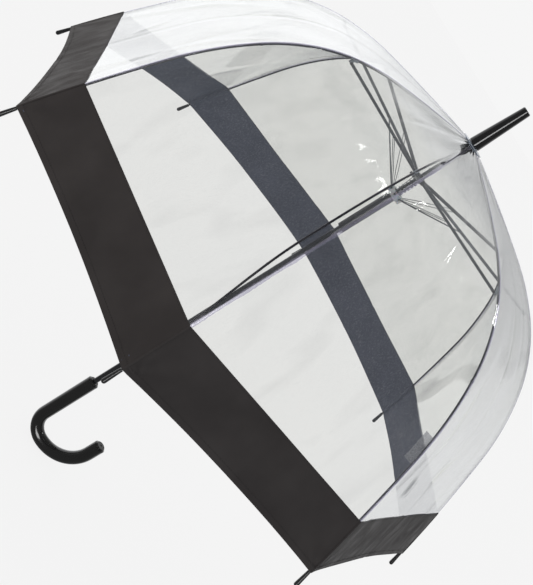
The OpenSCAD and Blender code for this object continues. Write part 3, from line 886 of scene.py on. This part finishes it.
RIGHT = Vector((0.53172, 0.23941, 0.81232))
DOWN = Vector((0.84654, -0.17815, -0.50166))
EYE = Vector((-0.01334, -1.33362, 0.83914))
look = RIGHT.cross(DOWN).normalized()
camera_data = bpy.data.cameras.new("camera")
camera_data.lens = 63.75
camera_data.sensor_width = 36
camera_data.clip_start = 0.05
camera_data.clip_end = 60
camera = bpy.data.objects.new("camera", camera_data)
camera.matrix_world = Matrix((
    (RIGHT.x, -DOWN.x, -look.x, EYE.x),
    (RIGHT.y, -DOWN.y, -look.y, EYE.y),
    (RIGHT.z, -DOWN.z, -look.z, EYE.z),
    (0, 0, 0, 1),
))
bpy.context.scene.collection.objects.link(camera)
bpy.context.scene.camera = camera

PALE = (0.921, 0.921, 0.921, 1)
world = bpy.data.worlds.new("studio")
world.use_nodes = True
bpy.context.scene.world = world
t = world.node_tree
t.nodes.clear()
way = node(t, "ShaderNodeTexCoord").outputs["Generated"]


def glow(direction, inner, outer, power):
    """Soft patch of light on the studio's walls, round a direction."""
    d = Vector(direction).normalized()
    dot = node(t, "ShaderNodeVectorMath", {0: way, 1: tuple(d)}, operation="DOT_PRODUCT").outputs["Value"]
    n = node(t, "ShaderNodeMapRange", {
        "Value": dot, "From Min": math.cos(math.radians(outer)), "From Max": math.cos(math.radians(inner)),
        "To Min": 0.0, "To Max": power,
    }, interpolation_type="SMOOTHSTEP")
    return n.outputs[0]


path_kind = node(t, "ShaderNodeLightPath")
mirrored = maths(t, "ADD", glow((0.1, 1.0, 0.15), 35, 85, 0.3), 0.2)
mirrored = maths(t, "ADD", mirrored, glow((-0.75, 0.65, -0.03), 25, 62, 0.6))
mirrored = maths(t, "ADD", mirrored, glow((0.65, 0.7, -0.3), 5, 40, 0.3))
mirrored = maths(t, "ADD", mirrored, glow((0.0, 0.9, 0.4), 5, 45, 0.08))
across_x = node(t, "ShaderNodeSeparateXYZ", {0: way}).outputs[0]
soft = remap(t, across_x, -0.8, 0.8, 0.95, 0.6)
strength = node(t, "ShaderNodeMix", {
    0: path_kind.outputs["Is Glossy Ray"], 2: soft, 3: mirrored,
}, data_type="FLOAT").outputs[0]
warmth = blend_colour(t, remap(t, across_x, -0.8, 0.8, 0.0, 1.0), (1.0, 0.955, 0.93, 1), (0.93, 0.96, 1.0, 1))
warmth = blend_colour(t, path_kind.outputs["Is Glossy Ray"], warmth, (0.985, 0.99, 1.0, 1))
studio = node(t, "ShaderNodeBackground", {"Color": warmth, "Strength": strength}).outputs[0]
plain = node(t, "ShaderNodeBackground", {"Color": PALE, "Strength": 1.0}).outputs[0]
seen = path_kind.outputs["Is Camera Ray"]
node(t, "ShaderNodeOutputWorld", {
    "Surface": node(t, "ShaderNodeMixShader", {0: seen, 1: studio, 2: plain}).outputs[0],
})


LAMPS_AWAY = 20.0
CENTRE = Vector((0, 0, 0.63))


def strip_lamp(name, start, end, breadth, glare):
    """Far lamp seen in reflections only, a bar drawn between two directions."""
    start, end = Vector(start).normalized(), Vector(end).normalized()
    back = (start + end).normalized()
    x = (end - start).normalized()
    y = back.cross(x)
    length = (end - start).length * LAMPS_AWAY
    light = bpy.data.lights.new(name, "AREA")
    light.shape = "RECTANGLE"
    light.size, light.size_y = length, breadth * LAMPS_AWAY
    light.energy = glare * math.pi * light.size * light.size_y
    place = CENTRE + back * LAMPS_AWAY
    o = bpy.data.objects.new(name, light)
    o.matrix_world = Matrix((
        (x.x, y.x, back.x, place.x), (x.y, y.y, back.y, place.y), (x.z, y.z, back.z, place.z), (0, 0, 0, 1),
    ))
    o.visible_diffuse = False
    bpy.context.scene.collection.objects.link(o)


strip_lamp("lamp_front", (0.25, -1.0, -0.25), (0.25, -1.0, 0.45), 0.3, 7)
strip_lamp("lamp_streak_1", (-0.41, 0.05, 0.91), (-0.36, 0.15, 0.918), 0.006, 14)
strip_lamp("lamp_streak_2", (0.453, 0.271, 0.849), (0.385, 0.511, 0.769), 0.012, 24)

floor_mesh = bpy.data.meshes.new("floor")
reach = 30
floor_mesh.from_pydata([(-reach, -reach, 0), (reach, -reach, 0), (reach, reach, 0), (-reach, reach, 0)], [], [(0, 1, 2, 3)])
floor = bpy.data.objects.new("floor", floor_mesh)
floor.location.z = cad_low.z - 0.5 * MM
bpy.context.scene.collection.objects.link(floor)
m, t = new_material("pale_floor")
glowing = node(t, "ShaderNodeEmission", {"Color": PALE, "Strength": 0.93}).outputs[0]
matt = node(t, "ShaderNodeBsdfDiffuse", {"Color": (0.07, 0.07, 0.07, 1)}).outputs[0]
finish_material(t, node(t, "ShaderNodeAddShader", {0: glowing, 1: matt}).outputs[0])
floor_mesh.materials.append(m)
floor.visible_diffuse = False
floor.visible_glossy = False

scene = bpy.context.scene
scene.view_settings.view_transform = "Standard"
scene.cycles.transparent_max_bounces = 64
